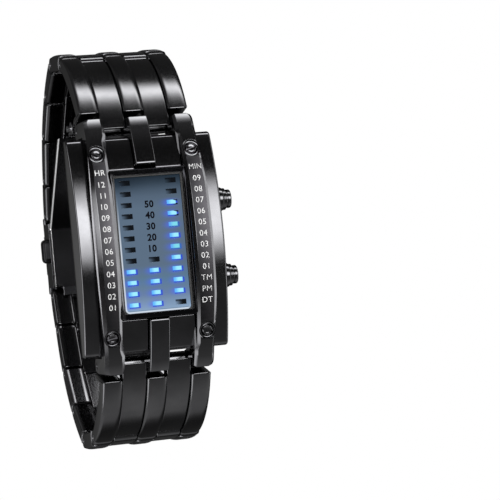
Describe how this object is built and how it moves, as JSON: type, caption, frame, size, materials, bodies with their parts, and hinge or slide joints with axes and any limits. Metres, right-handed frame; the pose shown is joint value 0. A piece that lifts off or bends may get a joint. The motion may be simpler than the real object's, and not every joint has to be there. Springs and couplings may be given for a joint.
{
  "type": "wristwatch",
  "caption": "Rectangular sports watch with a lamp display, pushers and side scale bars on a metal link bracelet closed by a folding clasp.",
  "frame": {"origin": "middle of the case back's flat outer face", "axes": "+Z out of the dial, +Y along the arm to the 12 o'clock end, +X to 3 o'clock, where the pushers are"},
  "size_m": [0.0359, 0.0922, 0.066],
  "materials": {
    "black_coated_steel": "black coated steel, polished",
    "dark_coated_steel": "dark coated steel, polished",
    "bare_steel": "bare steel",
    "mineral_crystal": "clear glass",
    "black_rubber": "matt rubber",
    "display_film": "blue-grey film",
    "white_plastic": "milky light guide",
    "lamp_blue": "blue lamp chips",
    "board_green": "coated circuit board",
    "chip_black": "moulded chip",
    "ivory_plastic": "moulded plastic",
    "clip_brass": "sheet brass"
  },
  "bodies": {
    "case": {"case_body": "black_coated_steel", "scale_bar_left": "black_coated_steel", "scale_bar_right": "black_coated_steel", "centre_bars": "black_coated_steel", "inner_plates": "black_coated_steel", "window_bezel": "dark_coated_steel", "crystal": "mineral_crystal", "crystal_gasket": "black_rubber", "display_mask": "display_film", "light_guide": "white_plastic", "lamp_chips": "lamp_blue", "circuit_board": "board_green", "controller_chip": "chip_black", "quartz_crystal": "bare_steel", "module_frame": "ivory_plastic", "coin_cells": "bare_steel", "battery_clip": "clip_brass", "bar_screws": "dark_coated_steel", "case_back": "bare_steel", "case_back_gasket": "black_rubber", "case_back_screws": "bare_steel", "pusher_collars": "black_coated_steel", "pusher_seal_upper": "black_rubber", "pusher_seal_lower": "black_rubber", "pusher_spring_upper": "bare_steel", "pusher_spring_lower": "bare_steel", "lug_pins": "bare_steel"},
    "pusher_upper_body": {"pusher_upper": "black_coated_steel"},
    "pusher_lower_body": {"pusher_lower": "black_coated_steel"},
    "upper_1": {"upper_link_1": "black_coated_steel", "upper_pin_1": "bare_steel"},
    "upper_2": {"upper_link_2": "black_coated_steel", "upper_pin_2": "bare_steel"},
    "upper_3": {"upper_link_3": "black_coated_steel", "upper_pin_3": "bare_steel"},
    "upper_4": {"upper_link_4": "black_coated_steel", "upper_pin_4": "bare_steel"},
    "upper_5": {"upper_link_5": "black_coated_steel", "upper_pin_5": "bare_steel"},
    "upper_6": {"upper_link_6": "black_coated_steel", "upper_pin_6": "bare_steel"},
    "lower_1": {"lower_link_1": "black_coated_steel", "lower_pin_1": "bare_steel"},
    "lower_2": {"lower_link_2": "black_coated_steel", "lower_pin_2": "bare_steel"},
    "lower_3": {"lower_link_3": "black_coated_steel", "lower_pin_3": "bare_steel"},
    "lower_4": {"lower_link_4": "black_coated_steel", "lower_pin_4": "bare_steel"},
    "lower_5": {"lower_link_5": "black_coated_steel", "lower_pin_5": "bare_steel"},
    "lower_6": {"lower_link_6": "black_coated_steel", "lower_pin_6": "bare_steel"},
    "bow": {"clasp_bow": "dark_coated_steel", "clasp_fold_pin": "bare_steel"},
    "cover": {"clasp_cover": "black_coated_steel", "clasp_blade": "dark_coated_steel", "clasp_button_spring": "bare_steel"},
    "button_left_body": {"clasp_button_left": "black_coated_steel"},
    "button_right_body": {"clasp_button_right": "black_coated_steel"}
  },
  "joints": [
    {"name": "clasp_fold", "type": "hinge", "parent": "bow", "child": "cover", "pos_m": [0, 0.02893, -0.02415], "axis": [1, 0, 0], "range_deg": [0, 75]},
    {"name": "upper_hinge_1", "type": "hinge", "parent": "case", "child": "upper_1", "pos_m": [0, 0.0262, -0.001], "axis": [1, 0, 0], "range_deg": [0, 13.3]},
    {"name": "upper_hinge_2", "type": "hinge", "parent": "upper_1", "child": "upper_2", "pos_m": [0, 0.04293, -0.01302], "axis": [1, 0, 0], "range_deg": [0, 43.1]},
    {"name": "upper_hinge_3", "type": "hinge", "parent": "upper_2", "child": "upper_3", "pos_m": [0, 0.04424, -0.02435], "axis": [1, 0, 0], "range_deg": [0, 17.6]},
    {"name": "upper_hinge_4", "type": "hinge", "parent": "upper_3", "child": "upper_4", "pos_m": [0, 0.03786, -0.0338], "axis": [1, 0, 0], "range_deg": [-14.8, 0]},
    {"name": "upper_hinge_5", "type": "hinge", "parent": "upper_4", "child": "upper_5", "pos_m": [0, 0.02913, -0.04112], "axis": [1, 0, 0], "range_deg": [-21.6, 0]},
    {"name": "upper_hinge_6", "type": "hinge", "parent": "upper_5", "child": "upper_6", "pos_m": [0, 0.0186, -0.04549], "axis": [1, 0, 0], "range_deg": [-9.8, 0]},
    {"name": "lower_hinge_1", "type": "hinge", "parent": "case", "child": "lower_1", "pos_m": [0, -0.0262, -0.001], "axis": [1, 0, 0], "range_deg": [0, 3.5]},
    {"name": "lower_hinge_2", "type": "hinge", "parent": "lower_1", "child": "lower_2", "pos_m": [0, -0.04293, -0.01302], "axis": [1, 0, 0], "range_deg": [0, 2.1]},
    {"name": "lower_hinge_3", "type": "hinge", "parent": "lower_2", "child": "lower_3", "pos_m": [0, -0.04424, -0.02435], "axis": [1, 0, 0], "range_deg": [0, 3.9]},
    {"name": "lower_hinge_4", "type": "hinge", "parent": "lower_3", "child": "lower_4", "pos_m": [0, -0.03786, -0.0338], "axis": [1, 0, 0], "range_deg": [0, 4.6]},
    {"name": "lower_hinge_5", "type": "hinge", "parent": "lower_4", "child": "lower_5", "pos_m": [0, -0.02913, -0.04112], "axis": [1, 0, 0], "range_deg": [-5, 0]},
    {"name": "lower_hinge_6", "type": "hinge", "parent": "lower_5", "child": "lower_6", "pos_m": [0, -0.0186, -0.04549], "axis": [1, 0, 0], "range_deg": [-5.1, 0]},
    {"name": "bow_hinge", "type": "hinge", "parent": "lower_6", "child": "bow", "pos_m": [0, -0.01002, -0.04819], "axis": [1, 0, 0], "range_deg": [-10.4, 0]},
    {"name": "pusher_upper_press", "type": "slide", "parent": "case", "child": "pusher_upper_body", "axis": [-1, 0, 0], "range_m": [0, 0.0008], "stiffness_N_per_m": 1500, "springref_m": -0.0004, "deforming": ["pusher_spring_upper"]},
    {"name": "pusher_lower_press", "type": "slide", "parent": "case", "child": "pusher_lower_body", "axis": [-1, 0, 0], "range_m": [0, 0.0008], "stiffness_N_per_m": 1500, "springref_m": -0.0004, "deforming": ["pusher_spring_lower"]},
    {"name": "clasp_button_left_press", "type": "slide", "parent": "cover", "child": "button_left_body", "axis": [1, 0, 0], "range_m": [0, 0.0008], "stiffness_N_per_m": 1500, "springref_m": -0.0004, "deforming": ["clasp_button_spring"]},
    {"name": "clasp_button_right_press", "type": "slide", "parent": "cover", "child": "button_right_body", "axis": [-1, 0, 0], "range_m": [0, 0.0008], "stiffness_N_per_m": 1500, "springref_m": -0.0004, "deforming": ["clasp_button_spring"]}
  ],
  "couplings": [
    {"joint": "upper_hinge_1", "follows": "clasp_fold", "ratio": 0.1761},
    {"joint": "upper_hinge_2", "follows": "clasp_fold", "ratio": 0.5736},
    {"joint": "upper_hinge_3", "follows": "clasp_fold", "ratio": 0.2335},
    {"joint": "upper_hinge_4", "follows": "clasp_fold", "ratio": -0.1968},
    {"joint": "upper_hinge_5", "follows": "clasp_fold", "ratio": -0.287},
    {"joint": "upper_hinge_6", "follows": "clasp_fold", "ratio": -0.1306},
    {"joint": "lower_hinge_1", "follows": "clasp_fold", "ratio": 0.0456},
    {"joint": "lower_hinge_2", "follows": "clasp_fold", "ratio": 0.0274},
    {"joint": "lower_hinge_3", "follows": "clasp_fold", "ratio": 0.0516},
    {"joint": "lower_hinge_4", "follows": "clasp_fold", "ratio": 0.0603},
    {"joint": "lower_hinge_5", "follows": "clasp_fold", "ratio": -0.0656},
    {"joint": "lower_hinge_6", "follows": "clasp_fold", "ratio": -0.0672},
    {"joint": "bow_hinge", "follows": "clasp_fold", "ratio": -0.1379}
  ]
}
